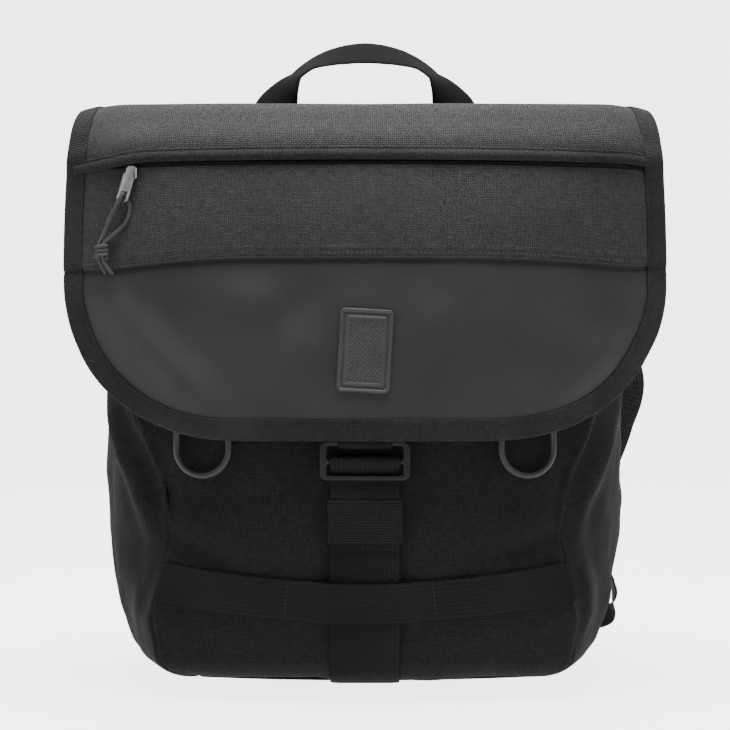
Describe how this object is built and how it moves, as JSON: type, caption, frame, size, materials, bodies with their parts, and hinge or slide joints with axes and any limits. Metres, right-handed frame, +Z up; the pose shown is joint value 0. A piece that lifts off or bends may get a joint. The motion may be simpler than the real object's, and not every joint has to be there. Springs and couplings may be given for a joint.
{
  "type": "bicycle messenger backpack",
  "caption": "Boxy cloth backpack with a wide bound flap, zip pocket on the flap, centre strap with bar buckle, D-rings, lash band, webbing grab handle and padded shoulder straps.",
  "frame": {"origin": "middle of the underside of the base panel, where the bag stands", "axes": "+Z up, -Y to the front with the flap, +Y to the wearer's back, +X to the right of someone looking at the front"},
  "size_m": [0.4539, 0.2626, 0.5014],
  "materials": {
    "cloth": "matt dense nylon weave",
    "padding": "matt padded cloth",
    "coated_cloth": "coated cloth with a soft sheen",
    "canvas": "coarse basket weave",
    "tape": "ribbed grosgrain tape",
    "cord": "braided cord",
    "webbing": "woven webbing",
    "elastic": "ribbed elastic",
    "patch_rubber": "moulded satin rubber",
    "plastic": "moulded, finely textured",
    "metal": "dark plated"
  },
  "bodies": {
    "bag": {"front_panel": "cloth", "side_panel_left": "cloth", "side_panel_right": "cloth", "base_panel": "cloth", "back_panel": "padding", "flap_base": "coated_cloth", "flap_top_panel": "canvas", "flap_pocket_panel": "canvas", "zip_tape": "tape", "zip_hood": "tape", "flap_binding": "tape", "label_patch": "patch_rubber", "zip_slider": "metal", "pull_tab": "metal", "pull_cord": "cord", "pull_knot": "cord", "centre_strap": "webbing", "strap_keeper": "elastic", "centre_buckle": "plastic", "buckle_tab": "webbing", "lash_band": "webbing", "ring_tab_left": "webbing", "ring_tab_right": "webbing", "grab_handle": "webbing", "back_yoke": "cloth", "shoulder_pad_left": "padding", "strap_adjuster_left": "plastic", "pad_loop_left": "webbing", "strap_webbing_left": "webbing", "strap_anchor_left": "webbing", "shoulder_pad_right": "padding", "strap_adjuster_right": "plastic", "pad_loop_right": "webbing", "strap_webbing_right": "webbing", "strap_anchor_right": "webbing"},
    "ring_left": {"d_ring_left": "plastic"},
    "ring_right": {"d_ring_right": "plastic"}
  },
  "joints": [
    {"name": "ring_left_swing", "type": "hinge", "parent": "bag", "child": "ring_left", "pos_m": [-0.11614, -0.08568, 0.18559], "axis": [0.9784, -0.2065, 0], "range_deg": [-35, 4]},
    {"name": "ring_right_swing", "type": "hinge", "parent": "bag", "child": "ring_right", "pos_m": [0.11614, -0.08568, 0.18559], "axis": [0.9784, 0.2065, 0], "range_deg": [-35, 4]}
  ]
}
